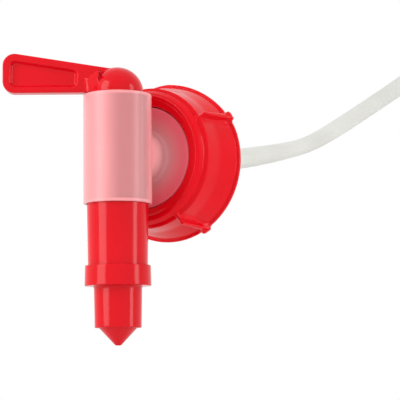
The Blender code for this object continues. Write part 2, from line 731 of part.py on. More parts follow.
def smooth_route(points, count):
    """Read evenly spaced points from a Catmull-Rom curve through the given ones."""
    ends = [2.0 * points[0] - points[1], 2.0 * points[-1] - points[-2]]
    padded = [ends[0]] + points + [ends[1]]
    fine = []
    for a, b, c, d in zip(padded, padded[1:], padded[2:], padded[3:]):
        for k in range(CURVE_STEPS):
            t = k / CURVE_STEPS
            linear = (c - a) * t
            square = (2.0 * a - 5.0 * b + 4.0 * c - d) * t * t
            cube = (3.0 * b - a - 3.0 * c + d) * t * t * t
            fine.append((2.0 * b + linear + square + cube) / 2.0)
    fine.append(points[-1])
    reach = [0.0]
    for near, far in zip(fine, fine[1:]):
        reach.append(reach[-1] + (far - near).length)
    route = []
    at = 0
    for i in range(count):
        wanted = reach[-1] * i / (count - 1)
        while at < len(fine) - 2 and reach[at + 1] < wanted:
            at += 1
        share = (wanted - reach[at]) / (reach[at + 1] - reach[at])
        route.append(fine[at].lerp(fine[at + 1], min(share, 1.0)))
    return route


def build_tube(material):
    start = Vector((0.0, SOCKET_FLOOR_Y + FIT_GAP, SOCKET_HEIGHT))
    chosen = [start] + [Vector((0.0, y * MM, SOCKET_HEIGHT + z * MM)) for y, z in TUBE_ROUTE_MM]
    curve = bpy.data.curves.new("air_tube", "CURVE")
    curve.dimensions = "3D"
    curve.bevel_depth = TUBE_R
    curve.bevel_resolution = 3
    curve.use_fill_caps = True
    spline = curve.splines.new("POLY")
    spline.points.add(TUBE_POINTS - 1)
    for point, place in zip(spline.points, smooth_route(chosen, TUBE_POINTS)):
        point.co = (*place, 1.0)
    curve.materials.append(material)
    tube = bpy.data.objects.new("air_tube", curve)
    bpy.context.scene.collection.objects.link(tube)
    return tube


def axis_empty(name, location, turn=0.0):
    empty = bpy.data.objects.new(name, None)
    empty.location = location
    empty.rotation_euler.z = turn
    empty.empty_display_size = AXIS_DISPLAY
    bpy.context.scene.collection.objects.link(empty)
    return empty


def main():
    clear_scene()
    red = plastic("red_plastic", (0.79, 0.009, 0.022), 0.3)
    natural = plastic("natural_plastic", (0.80, 0.78, 0.76), 0.35, 0.5)
    tube_plastic = plastic("tube_plastic", (0.68, 0.68, 0.62), 0.4, 0.4)
    foam = plastic("gasket_foam", (0.85, 0.85, 0.82), 0.8)

    build_body(natural)
    build_gasket(foam)
    build_tube(tube_plastic)

    key_axis = axis_empty("key_axis", (0.0, BARREL_Y, 0.0), REST_TURN)
    for piece in (build_key(red), build_nozzle(red), build_stopper(red)):
        piece.parent = key_axis

    cap_axis = axis_empty("cap_axis", (0.0, 0.0, 0.0))
    build_cap(red).parent = cap_axis


main()
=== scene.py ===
"""Jerrycan tap on a white ground.

All surfaces but the air tube's are zero levels of distance fields, in millimetres, so that
moulded parts run into each other with soft edges. The air tube is swept along its route. Every
piece rides on the body that it belongs to in the frame.
"""
import math

import bpy
import numpy as np
from mathutils import Matrix, Vector


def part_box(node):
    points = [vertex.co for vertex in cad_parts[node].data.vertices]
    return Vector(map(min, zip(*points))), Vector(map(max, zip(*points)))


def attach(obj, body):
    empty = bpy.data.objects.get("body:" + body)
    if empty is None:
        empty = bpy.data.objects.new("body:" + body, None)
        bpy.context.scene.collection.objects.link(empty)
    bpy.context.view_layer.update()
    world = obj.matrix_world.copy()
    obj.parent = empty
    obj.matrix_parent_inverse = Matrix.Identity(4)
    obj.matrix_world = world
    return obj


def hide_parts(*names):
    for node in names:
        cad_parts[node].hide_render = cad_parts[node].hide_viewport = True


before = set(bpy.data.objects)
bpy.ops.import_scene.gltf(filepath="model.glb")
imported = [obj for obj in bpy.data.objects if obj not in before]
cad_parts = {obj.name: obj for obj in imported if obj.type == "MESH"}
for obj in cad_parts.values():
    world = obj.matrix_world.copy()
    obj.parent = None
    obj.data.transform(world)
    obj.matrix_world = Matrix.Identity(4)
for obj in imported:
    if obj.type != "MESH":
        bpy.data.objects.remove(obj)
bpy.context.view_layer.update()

MM = 0.001


def node_box(name):
    """Lowest and highest corner of a CAD node, in millimetres."""
    low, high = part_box(name)
    return np.array(low) / MM, np.array(high) / MM


cap_high = node_box("screw_cap")[1]
body_high = node_box("tap_body")[1]
gasket_low, gasket_high = node_box("neck_gasket")
nozzle_low, nozzle_high = node_box("spout_nozzle")
stopper_low, stopper_high = node_box("nozzle_stopper")
key_low, key_high = node_box("key")

# Sizes below are in millimetres
FIT_GAP = 0.3

# Screw cap, from its rim inwards
RIM_R = cap_high[0] - 0.02
CAP_DEPTH = cap_high[1]
SKIRT_END_R = RIM_R - 1.2
THREAD_R = SKIRT_END_R - 5.6
CAP_INNER_R = THREAD_R - 1.4
GROOVE_R = CAP_INNER_R + 1.4
SHOULDER_R = GROOVE_R + 0.55
SHOULDER_ROUND = 2.2
SHOULDER_START_DEGREES = -100
SHOULDER_LEAN = math.radians(32)
SHOULDER_Y = -6.1
GROOVE_FRONT = -5.75
GROOVE_BACK = -5.25
STEP_R = GROOVE_R + 1.85
STEP_Y = -4.5
BEND_R = GROOVE_R + 2.7
BEND_Y = 4.6
BEND_ROUND = 1.6
CAP_LIP = 2.2
CAP_LIP_BEVEL = 0.25
FRONT_WALL = 2.0
FRONT_DOME = 1.8
FRONT_SLOPE = 2.8
FRONT_RISE = 1.1
HOLE_GAP = 0.35
INNER_DEPTH = 2.0
INNER_RUN = 1.5
MOUTH_BEVEL = 1.2

# One side of the skirt is slightly flat, beyond a radius
FLAT_SIDE_TURN = math.radians(57)
FLAT_SIDE_HALF = math.radians(34)
FLAT_SIDE = 0.95
FLAT_BEYOND_R = 33.0
FLAT_FADE = 3.0

# Thread inside the cap; it reaches its full height a sixth of a turn from either end
THREAD_HEIGHT = 1.2
THREAD_FOOT = 2.6
THREAD_CREST = 1.0
THREAD_PITCH = 4.0
THREAD_TURNS = 2.25
THREAD_MOUTH = 2.4
THREAD_ENDS = 6.0
THREAD_WITHIN_R = 33.5
THREAD_FADE = 2.0

# Lugs: (y, radius) of the ridge from the shoulder to the rim, and (y, half-width) at its crest
LUG_COUNT = 4
LUG_FIRST_TURN = math.radians(31)
LUG_RIDGE = (
    (-6.1, SHOULDER_R - 0.3),
    (-5.2, GROOVE_R + 5.9),
    (3.0, GROOVE_R + 6.5),
    (CAP_DEPTH - 5.5, GROOVE_R + 7.4),
    (CAP_DEPTH - 2.6, RIM_R + 1.85),
    (CAP_DEPTH - 0.4, RIM_R + 1.5),
)
LUG_HALF = ((-6.1, 0.55), (3.0, 0.85), (CAP_DEPTH - 5.5, 1.15), (CAP_DEPTH - 2.6, 2.2))
LUG_INSIDE_R = CAP_INNER_R - 3.0
LUG_FOOT_R = CAP_INNER_R + 1.2
LUG_FOOT_STEP = 1.3
LUG_ROUND = 1.0
LUG_ROUND_SHARE = 0.85
LUG_DRAFT = 0.05
LUG_FLARE = 0.05
LUG_FLARE_DEPTH = 6.0
LUG_FILLET = 1.5

# Tap body
LIP_R = CAP_INNER_R - 0.7
LIP_THICKNESS = 2.4
LIP_BACK_Y = gasket_low[1] - FIT_GAP
LIP_FRONT_Y = LIP_BACK_Y - LIP_THICKNESS
WALL_Y = LIP_FRONT_Y - FIT_GAP
DISC_R = LIP_R - 5.1
DISC_FACE_Y = LIP_FRONT_Y - 1.9
PLATE_BACK_Y = DISC_FACE_Y + 2.6
GASKET_INNER_R = DISC_R - 1.0
RING_R = GASKET_INNER_R - FIT_GAP
RING_WALL = 1.8
RING_SETBACK = 0.6
NECK_BORE_R = 9.8
NECK_R = NECK_BORE_R + 2.0
NECK_FILLET = 1.8
PARTITION = 1.8
SPIGOT_END_Y = 6.0
TUBE_R = 5.5
SOCKET_R = TUBE_R + FIT_GAP
SOCKET_FLOOR_Y = SPIGOT_END_Y + 1.2
SOCKET_MOUTH_Y = body_high[1]
BOSS_R = SOCKET_R + 1.5
BOSS_FRONT_Y = 1.0
SOCKET_Z = NECK_R - BOSS_R - 0.3
AIR_PASSAGE_R = SOCKET_Z - PARTITION / 2.0 - 0.1
AIR_PASSAGE_Y = 1.5
UPPER_BORE_END_Y = SOCKET_FLOOR_Y - 3.0

# How softly the body's surfaces run into each other
BOSS_EDGE = 0.4
BOSS_FILLET = 0.5
BARREL_FILLET = 1.6
PARTITION_EDGE = 0.4
BORE_EDGE = 0.3
AIR_PASSAGE_EDGE = 0.2
BARREL_BORE_EDGE = 0.15

# Barrel and the key's turned parts
BARREL_Y = (nozzle_low[1] + nozzle_high[1]) / 2.0
BARREL_TOP = 25.7
BARREL_BOTTOM = -23.4
PLUG_TOP_R = 13.9
PLUG_BOTTOM_R = PLUG_TOP_R - 0.15
BARREL_R = PLUG_TOP_R + FIT_GAP + 1.1
BEAD_DROP = 4.6
BEAD_PROUD = 0.25
BEAD_HALF = 0.9
PLUG_WALL = 1.9
PLUG_RISE = 0.4
PLUG_END = BARREL_TOP + PLUG_RISE
HUB_R = PLUG_TOP_R - 2.1
HUB_BASE = 0.4
HUB_WALL = 2.4
WINDOW_R = 9.3
WINDOW_EDGE = 0.4
SPOUT_END_Z = key_low[2]
SPOUT_END_R = PLUG_BOTTOM_R - 0.55
SPOUT_WALL = 1.8
CAVITY_WALL_DROP = 3.4
CAVITY_HUB_DROP = 0.9
CAVITY_EDGE = 0.2

# Lever
REST_TURN = math.radians(30)
LEVER_FOOT_Z = BARREL_TOP + 0.9
LEVER_LENGTH = 51.2
LEVER_PAST_AXIS = 6.0
LEVER_END_RISE = 19.7
LEVER_AXIS_RISE = 11.4
LEVER_HALF = 3.25
LEVER_CORNER_R = 5.3
LEVER_EDGE = 0.75
PANEL_DEPTH = 1.8
PANEL_BORDER = 3.1
PANEL_FOOT = 2.4
PANEL_NEAR_END = 17.6
PANEL_DRAFT = 1.2
PANEL_CORNER_R = 2.6
PANEL_FLOOR_ROUND = 0.5
PANEL_EDGE = 0.4
ROOT_START = 14.1
ROOT_END = 7.8
ROOT_START_HALF = LEVER_HALF - 0.1
ROOT_END_HALF = HUB_R - 3.1
ROOT_FOOT_GAP = 0.1
ROOT_START_RISE = 6.9
ROOT_END_RISE = 10.3
ROOT_LEAN = 0.6
ROOT_EDGE = 0.4
ROOT_FOOT_EDGE = 0.3
HANDLE_FILLET = 0.8
HUB_FILLET = 0.5

# Share of a step along Y or Z that leads straight away from the root's leaning sides and top
ROOT_SIDE_SHARE = 0.75
ROOT_TOP_SHARE = 0.88

# Nozzle and stopper
COLLAR_FLOOR = 1.4
COLLAR_END_Z = SPOUT_END_Z - FIT_GAP - COLLAR_FLOOR
COLLAR_TOP_Z = nozzle_high[2]
COLLAR_WALL = 1.03
COLLAR_FLARE = 0.2
NOZZLE_END_Z = nozzle_low[2]
NOZZLE_BORE_R = 8.75
NOZZLE_END_R = NOZZLE_BORE_R + 1.65
NOZZLE_TOP_R = NOZZLE_END_R + 0.3
NOZZLE_FILLET = 1.0
SHANK_R = NOZZLE_BORE_R - FIT_GAP
SHANK_TOP_Z = stopper_high[2]
CONE_R = NOZZLE_BORE_R - 0.55
CONE_TIP_R = 1.2
CONE_TIP_Z = stopper_low[2]
CONE_HOLLOW_R = 1.0
CONE_HOLLOW_Z = CONE_TIP_Z + 2.2
STOPPER_WALL = 1.5

# Air tube: (y, height above the socket's axis) along its route, and how high its oval stands
TUBE_ROUTE = (
    (20.0, 0.0),
    (44.0, 0.8),
    (68.0, 3.1),
    (93.0, 6.8),
    (128.0, 13.4),
    (158.0, 20.0),
    (181.0, 26.8),
    (206.0, 36.0),
    (238.0, 48.6),
    (270.0, 61.4),
    (302.0, 74.4),
    (331.0, 86.6),
)
TUBE_HALF_HEIGHT = (
    (7.0, 5.5),
    (62.0, 5.4),
    (100.0, 5.1),
    (125.0, 4.8),
    (150.0, 4.3),
    (185.0, 4.2),
    (215.0, 4.6),
    (270.0, 4.9),
    (300.0, 5.2),
    (331.0, 5.45),
)
TUBE_WALL = 1.0
TUBE_EDGE = 0.25
TUBE_RINGS = 200
TUBE_SIDES = 48
ROUTE_STEPS = 24
SMOOTHED_RINGS = 31


def new_object(name, data):
    item = bpy.data.objects.new(name, data)
    bpy.context.scene.collection.objects.link(item)
    return item


# Camera

CAMERA_AZIMUTH = 29.18
CAMERA_ELEVATION = -6.02
CAMERA_ROLL = -0.535
CAMERA_PLACE = (0.3776, -0.6310, -0.0966)
CAMERA_LENS = 144.0
SENSOR_WIDTH = 36.0
CLIP_START = 0.01


def direction(turn, rise):
    """Direction from the tap to an azimuth and an elevation."""
    level = math.cos(rise)
    return Vector((math.sin(turn) * level, -math.cos(turn) * level, math.sin(rise)))


def make_camera():
    turn, rise, roll = (math.radians(v) for v in (CAMERA_AZIMUTH, CAMERA_ELEVATION, CAMERA_ROLL))
    back = direction(turn, rise)
    right = Vector((math.cos(turn), math.sin(turn), 0.0))
    up = right.cross(-back)
    across = right * math.cos(roll) + up * math.sin(roll)
    upward = -right * math.sin(roll) + up * math.cos(roll)
    data = bpy.data.cameras.new("camera")
    data.lens = CAMERA_LENS
    data.sensor_width = SENSOR_WIDTH
    data.clip_start = CLIP_START
    camera = new_object("camera", data)
    pose = Matrix((across, upward, back)).transposed().to_4x4()
    pose.translation = CAMERA_PLACE
    camera.matrix_world = pose
    bpy.context.scene.camera = camera


make_camera()


# Node materials; a grain is the (scale, detail) of a noise

CLOUDS = (55.0, 3.0)
POLISH = (160.0, 4.0)
RIPPLES = (420.0, 5.0)
RIPPLE_DEPTH = 0.0003
NOISE_ROUGHNESS = 0.55
NOISE_LOW = 0.3
NOISE_HIGH = 0.7
PLASTIC_IOR = 1.5


def add_node(tree, kind, **values):
    """Add a shader node; names of sockets and properties are matched in turn."""
    node = tree.nodes.new(kind)
    for name, value in values.items():
        socket = node.inputs.get(name.replace("_", " "))
        if socket is None:
            setattr(node, name, value)
        else:
            socket.default_value = value
    return node


def new_material(name):
    material = bpy.data.materials.new(name)
    material.use_nodes = True
    tree = material.node_tree
    shader = tree.nodes["Principled BSDF"]
    return material, tree, shader


def ramp(tree, value, low, high, at_low=0.0, at_high=1.0):
    """Smooth step of a value between two limits."""
    ranged = add_node(tree, "ShaderNodeMapRange", interpolation_type="SMOOTHSTEP")
    limits = (("From Min", low), ("From Max", high), ("To Min", at_low), ("To Max", at_high))
    for name, number in limits:
        ranged.inputs[name].default_value = number
    tree.links.new(value, ranged.inputs["Value"])
    return ranged.outputs["Result"]


def colour_mix(tree, factor, first, second):
    """Mix of two colours, each given as a tuple or as a socket."""
    mix = add_node(tree, "ShaderNodeMix", data_type="RGBA")
    tree.links.new(factor, mix.inputs[0])
    for value, socket in ((first, mix.inputs[6]), (second, mix.inputs[7])):
        if isinstance(value, tuple):
            socket.default_value = value
        else:
            tree.links.new(value, socket)
    return mix.outputs[2]


def shader_mix(tree, factor, first, second):
    mix = add_node(tree, "ShaderNodeMixShader")
    for number, value in enumerate((factor, first, second)):
        tree.links.new(value, mix.inputs[number])
    return mix.outputs[0]


def combine(tree, operation, first, second):
    node = add_node(tree, "ShaderNodeMath", operation=operation)
    tree.links.new(first, node.inputs[0])
    tree.links.new(second, node.inputs[1])
    return node.outputs[0]


def product(tree, first, second):
    return combine(tree, "MULTIPLY", first, second)


def spread(tree, place, grain, finer, low, high):
    """Noise of a grain, made finer by a factor and spread over a range of values."""
    scale, detail = grain
    noise = add_node(tree, "ShaderNodeTexNoise", Scale=scale * finer, Detail=detail,
                     Roughness=NOISE_ROUGHNESS)
    tree.links.new(place, noise.inputs["Vector"])
    return ramp(tree, noise.outputs["Fac"], NOISE_LOW, NOISE_HIGH, low, high)


def moulded(name, light, deep, rough, ripple, finer=1.0, shine=0.2):
    """Moulded plastic: cloudy between two colours, unevenly polished, faintly rippled."""
    material, tree, shader = new_material(name)
    place = add_node(tree, "ShaderNodeTexCoord").outputs["Object"]
    clouds = spread(tree, place, CLOUDS, finer, 0.0, 1.0)
    tree.links.new(colour_mix(tree, clouds, light, deep), shader.inputs["Base Color"])
    tree.links.new(spread(tree, place, POLISH, finer, *rough), shader.inputs["Roughness"])
    bump = add_node(tree, "ShaderNodeBump", Strength=ripple, Distance=RIPPLE_DEPTH)
    tree.links.new(spread(tree, place, RIPPLES, finer, 0.0, 1.0), bump.inputs["Height"])
    tree.links.new(bump.outputs["Normal"], shader.inputs["Normal"])
    shader.inputs["IOR"].default_value = PLASTIC_IOR
    shader.inputs["Specular IOR Level"].default_value = shine
    return material


RED = moulded("red_plastic", (0.64, 0.0016, 0.0085, 1.0), (0.605, 0.0012, 0.0070, 1.0),
              rough=(0.13, 0.16), ripple=0.015)
CAP_RED = moulded("cap_plastic", (0.735, 0.0010, 0.0090, 1.0), (0.70, 0.0008, 0.0075, 1.0),
                  rough=(0.13, 0.16), ripple=0.015, shine=0.13)
TUBE = moulded("tube_plastic", (0.68, 0.68, 0.635, 1.0), (0.63, 0.63, 0.585, 1.0),
               rough=(0.3, 0.38), ripple=0.012, finer=0.5)
FOAM = moulded("gasket_foam", (0.82, 0.82, 0.79, 1.0), (0.70, 0.70, 0.67, 1.0),
               rough=(0.75, 0.9), ripple=0.6, finer=3.0)
# The body's pink base colour is painted red glow: it stands in for the key's red light scattered in
# the milky plastic
NATURAL = moulded("natural_plastic", (0.82, 0.315, 0.325, 1.0), (0.81, 0.305, 0.315, 1.0),
                  rough=(0.23, 0.27), ripple=0.015)

# Milky plastic: the key shows through the thin barrel, less so edge-on, towards low X and at the
# rims. Less showing through towards low X is a painted lit side, standing in for the left lamp's
# light, not a thicker wall.
# Pairs are where a change starts and ends, in millimetres but for FACING
SEE_THROUGH = 0.41
EDGE_ON = 0.3
FACING = (0.45, 0.8)
PAINTED_LIT_SIDE_SHARE = 0.3
PAINTED_LIT_SIDE_X = (3.0, 9.5)
BARREL_END_Y = (-33.0, -25.0)
RIM_LOW = -22.6
RIM_HIGH = 24.9
RIM_FADE = 1.0
CLEAR_COLOUR = (0.99, 0.97, 0.96, 1.0)
SKIN_IOR = 1.3
SKIN_ROUGHNESS = 0.34

# Painted red glow: the disc's base colour stands in for the cap's red light scattered in the milky
# plastic, more so outwards. The flange's back has no red behind it
FLANGE_Y = (-19.0, -13.0)
PAINTED_GLOW_RADII = (9.0, 22.0)
PAINTED_GLOW_NEAR = (0.68, 0.36, 0.365, 1.0)
PAINTED_GLOW_FAR = (0.80, 0.14, 0.18, 1.0)
TINT_BACK = (0.80, 0.70, 0.67, 1.0)


def metres(*lengths):
    return [length * MM for length in lengths]


def make_milky(material):
    """Make a moulded plastic with red glow painted in by its place, clear on the barrel and glossy
    there.
    """
    tree = material.node_tree
    shader = tree.nodes["Principled BSDF"]
    clouds = shader.inputs["Base Color"].links[0].from_socket
    place = add_node(tree, "ShaderNodeTexCoord").outputs["Object"]
    split = add_node(tree, "ShaderNodeSeparateXYZ")
    tree.links.new(place, split.inputs[0])
    x, y, z = (split.outputs[name] for name in "XYZ")

    flat = add_node(tree, "ShaderNodeCombineXYZ")
    tree.links.new(x, flat.inputs["X"])
    tree.links.new(z, flat.inputs["Z"])
    from_neck = add_node(tree, "ShaderNodeVectorMath", operation="LENGTH")
    tree.links.new(flat.outputs[0], from_neck.inputs[0])
    outwards = ramp(tree, from_neck.outputs["Value"], *metres(*PAINTED_GLOW_RADII))
    # Painted red glow in the disc: the cap's red light, painted into the base colour, stronger
    # outwards
    painted_glow = colour_mix(tree, outwards, PAINTED_GLOW_NEAR, PAINTED_GLOW_FAR)
    front = colour_mix(tree, ramp(tree, y, *metres(*FLANGE_Y)), clouds, painted_glow)
    hidden = ramp(tree, y, *metres(LIP_FRONT_Y, LIP_BACK_Y))
    tree.links.new(colour_mix(tree, hidden, front, TINT_BACK), shader.inputs["Base Color"])

    facing = add_node(tree, "ShaderNodeLayerWeight", Blend=0.5).outputs["Facing"]
    thin = ramp(tree, facing, *FACING, SEE_THROUGH, SEE_THROUGH * EDGE_ON)
    # Painted lit side: less of the key shows through towards low X, so the barrel is whiter there,
    # as if lit more from the left
    painted_lit_side = ramp(tree, x, *metres(*PAINTED_LIT_SIDE_X), PAINTED_LIT_SIDE_SHARE, 1.0)
    on_barrel = ramp(tree, y, *metres(*BARREL_END_Y), 1.0, 0.0)
    above_foot = ramp(tree, z, *metres(RIM_LOW, RIM_LOW + RIM_FADE))
    below_top = ramp(tree, z, *metres(RIM_HIGH - RIM_FADE, RIM_HIGH), 1.0, 0.0)
    on_wall = product(tree, on_barrel, product(tree, above_foot, below_top))
    share = product(tree, product(tree, thin, painted_lit_side), on_wall)
    clear = add_node(tree, "ShaderNodeBsdfTransparent", Color=CLEAR_COLOUR)
    milky = shader_mix(tree, share, shader.outputs[0], clear.outputs[0])

    fresnel = add_node(tree, "ShaderNodeFresnel", IOR=SKIN_IOR)
    skin = add_node(tree, "ShaderNodeBsdfGlossy", Roughness=SKIN_ROUGHNESS)
    mirrored = product(tree, fresnel.outputs[0], on_barrel)
    tree.links.new(shader_mix(tree, mirrored, milky, skin.outputs[0]),
                   tree.nodes["Material Output"].inputs["Surface"])


make_milky(NATURAL)


# Meshes

def make_piece(name, points, faces, material, body, node, normals=None):
    """Mesh piece from points in millimetres."""
    mesh = bpy.data.meshes.new(name)
    mesh.vertices.add(len(points))
    mesh.vertices.foreach_set("co", (np.asarray(points, float) * MM).ravel())
    faces = np.asarray(faces, np.int32)
    starts = np.arange(len(faces), dtype=np.int32) * faces.shape[1]
    mesh.loops.add(faces.size)
    mesh.loops.foreach_set("vertex_index", faces.ravel())
    mesh.polygons.add(len(faces))
    mesh.polygons.foreach_set("loop_start", starts)
    mesh.polygons.foreach_set("use_smooth", np.ones(len(faces), bool))
    mesh.update(calc_edges=True)
    mesh.validate()
    if normals is not None:
        mesh.normals_split_custom_set_from_vertices(normals.tolist())
    mesh.materials.append(material)
    piece = new_object(name, mesh)
    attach(piece, body)
    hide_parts(node)
    return piece


# Air tube

def smooth_route(points, count):
    """Evenly spaced points on a Catmull-Rom curve through the given ones."""
    padded = np.vstack([2 * points[0] - points[1], points, 2 * points[-1] - points[-2]])
    fine = []
    for a, b, c, d in zip(padded, padded[1:], padded[2:], padded[3:]):
        for t in np.arange(0.0, 1.0, 1.0 / ROUTE_STEPS):
            square = (2 * a - 5 * b + 4 * c - d) * t * t
            cube = (3 * b - a - 3 * c + d) * t ** 3
            fine.append((2 * b + (c - a) * t + square + cube) / 2)
    fine = np.array(fine + [points[-1]])
    reach = np.concatenate([[0.0], np.cumsum(np.linalg.norm(np.diff(fine, axis=0), axis=1))])
    wanted = np.linspace(0.0, reach[-1], count)
    route = np.stack([np.interp(wanted, reach, fine[:, i]) for i in range(2)], axis=1)
    return route, reach[-1]


def make_tube():
    start = (SOCKET_FLOOR_Y + FIT_GAP, SOCKET_Z)
    chosen = np.array([start] + [(y, SOCKET_Z + rise) for y, rise in TUBE_ROUTE])
    route, length = smooth_route(chosen, TUBE_RINGS)
    along = np.gradient(route, axis=0)
    along /= np.linalg.norm(along, axis=1)[:, None]
    half_y, half = np.array(TUBE_HALF_HEIGHT).T
    rise = np.interp(route[:, 0], half_y, half)
    kernel = np.hanning(SMOOTHED_RINGS) / np.hanning(SMOOTHED_RINGS).sum()
    rise = np.convolve(np.pad(rise, SMOOTHED_RINGS // 2, mode="edge"), kernel, mode="valid")
    side = np.sqrt(2 * TUBE_R ** 2 - rise ** 2)
    turns = np.linspace(0.0, math.tau, TUBE_SIDES, endpoint=False)

    def ring(i, wall, at):
        across = np.cos(turns) * (side[i] - wall)
        upward = np.sin(turns) * (rise[i] - wall)
        y = at[0] - along[i, 1] * upward
        z = at[1] + along[i, 0] * upward
        return np.stack([across, y, z], axis=1)

    last = TUBE_RINGS - 1
    rings = [ring(0, TUBE_EDGE, route[0])]
    rings += [ring(i, 0.0, route[i] + along[i] * (TUBE_EDGE * ((i == 0) - (i == last))))
              for i in range(TUBE_RINGS)]
    rings += [ring(last, TUBE_EDGE, route[-1]), ring(last, TUBE_WALL, route[-1])]
    rings += [ring(i, TUBE_WALL, route[i]) for i in range(last - 1, 0, -1)]
    rings += [ring(0, TUBE_WALL, route[0])]
    points = np.concatenate(rings)
    faces = []
    count = len(rings)
    for i in range(count):
        near, far = i * TUBE_SIDES, ((i + 1) % count) * TUBE_SIDES
        for k in range(TUBE_SIDES):
            n = (k + 1) % TUBE_SIDES
            faces.append((near + k, far + k, far + n, near + n))
    tube = make_piece("air_tube", points, faces, TUBE, "body", "air_tube")


make_tube()


# Distance fields: negative inside, all lengths in millimetres

TABLE_STEP = 0.1
TABLE_MARGIN = 4.0
LAST_CELL = 1.001
FAR = 1e12
NO_LENGTH = 1e-12


def polygon_distance(a, b, corners):
    """Signed distance of points to a closed polygon."""
    nearest = np.full(a.shape, FAR)
    inside = np.zeros(a.shape, bool)
    for (a0, b0), (a1, b1) in zip(corners, corners[1:] + corners[:1]):
        da, db = a1 - a0, b1 - b0
        square = da * da + db * db
        if square < NO_LENGTH:
            continue
        along = np.clip(((a - a0) * da + (b - b0) * db) / square, 0.0, 1.0)
        nearest = np.minimum(nearest, (a - a0 - along * da) ** 2 + (b - b0 - along * db) ** 2)
        if db != 0.0:
            crossing = (b0 > b) != (b1 > b)
            inside ^= crossing & (a < a0 + (b - b0) * da / db)
    return np.where(inside, -1.0, 1.0) * np.sqrt(nearest)


def blur(values, spread_steps):
    """Gaussian blur of a 2-D table, with its edges repeated."""
    reach = int(math.ceil(3 * spread_steps))
    weights = np.exp(-0.5 * (np.arange(-reach, reach + 1) / spread_steps) ** 2)
    weights /= weights.sum()
    for axis in (0, 1):
        pads = [(0, 0), (0, 0)]
        pads[axis] = (reach, reach)
        padded = np.pad(values, pads, mode="edge")
        size = values.shape[axis]
        values = sum(w * padded.take(range(i, i + size), axis=axis) for i, w in enumerate(weights))
    return values


class Table:
    """Distance to a 2-D outline, read from a fine table whose corners come out rounded."""

    def __init__(self, corners, rounding=0.22, mirror=False, margin=TABLE_MARGIN):
        corners = [tuple(map(float, c)) for c in corners]
        low = np.min(corners, axis=0) - margin
        high = np.max(corners, axis=0) + margin
        self.low = low
        counts = [int((h - l) / TABLE_STEP) + 2 for l, h in zip(low, high)]
        a = low[0] + TABLE_STEP * np.arange(counts[0])
        b = low[1] + TABLE_STEP * np.arange(counts[1])
        grid_a, grid_b = np.meshgrid(a, b, indexing="ij")
        grid_a = np.abs(grid_a) if mirror else grid_a
        self.values = blur(polygon_distance(grid_a, grid_b, corners), rounding / TABLE_STEP)

    def __call__(self, a, b):
        v = self.values
        i = np.clip((a - self.low[0]) / TABLE_STEP, 0.0, v.shape[0] - LAST_CELL)
        j = np.clip((b - self.low[1]) / TABLE_STEP, 0.0, v.shape[1] - LAST_CELL)
        i0, j0 = i.astype(int), j.astype(int)
        fi, fj = i - i0, j - j0
        low = v[i0, j0] * (1 - fj) + v[i0, j0 + 1] * fj
        high = v[i0 + 1, j0] * (1 - fj) + v[i0 + 1, j0 + 1] * fj
        return low * (1 - fi) + high * fi


def unite(a, b, soft=0.3):
    share = np.clip(0.5 + 0.5 * (b - a) / soft, 0.0, 1.0)
    return b + (a - b) * share - soft * share * (1.0 - share)


def common(a, b, soft=0.3):
    return -unite(-a, -b, soft)


def cut(a, b, soft=0.3):
    return common(a, -b, soft)


def rod(a, b, radius):
    return np.hypot(a, b) - radius


def round_edge(a, b, radius):
    """Distance to two faces that meet in a round edge; a and b count from the edge's centre."""
    outside = np.hypot(np.maximum(a, 0), np.maximum(b, 0))
    return outside + np.minimum(np.maximum(a, b), 0) - radius


# Meshing of a field

GRID_SCALE = 1.0
SLAB = 6
CELL_CORNERS = 8
CORRECTIONS = 3
CORRECTION_LIMIT = 0.7
LEAST_SLOPE_SQUARED = 0.25
TINY = 1e-9


def graded(*runs):
    """Grid coordinates from (start, end, step) runs that follow each other."""
    parts = []
    for start, end, step in runs:
        count = max(int(round((end - start) / (step * GRID_SCALE))), 1)
        parts.append(np.linspace(start, end, count, endpoint=False))
    return np.concatenate(parts + [[runs[-1][1]]])


def sample(field, xs, ys, zs):
    values = np.empty((len(xs), len(ys), len(zs)), np.float32)
    for i in range(0, len(xs), SLAB):
        x, y, z = np.meshgrid(xs[i:i + SLAB], ys, zs, indexing="ij")
        values[i:i + SLAB] = field(x, y, z)
    return values


def gradient(field, points, reach=0.1):
    columns = []
    for axis in range(3):
        step = np.zeros(3)
        step[axis] = reach
        columns.append((field(*(points + step).T) - field(*(points - step).T)) / (2 * reach))
    return np.stack(columns, axis=1)


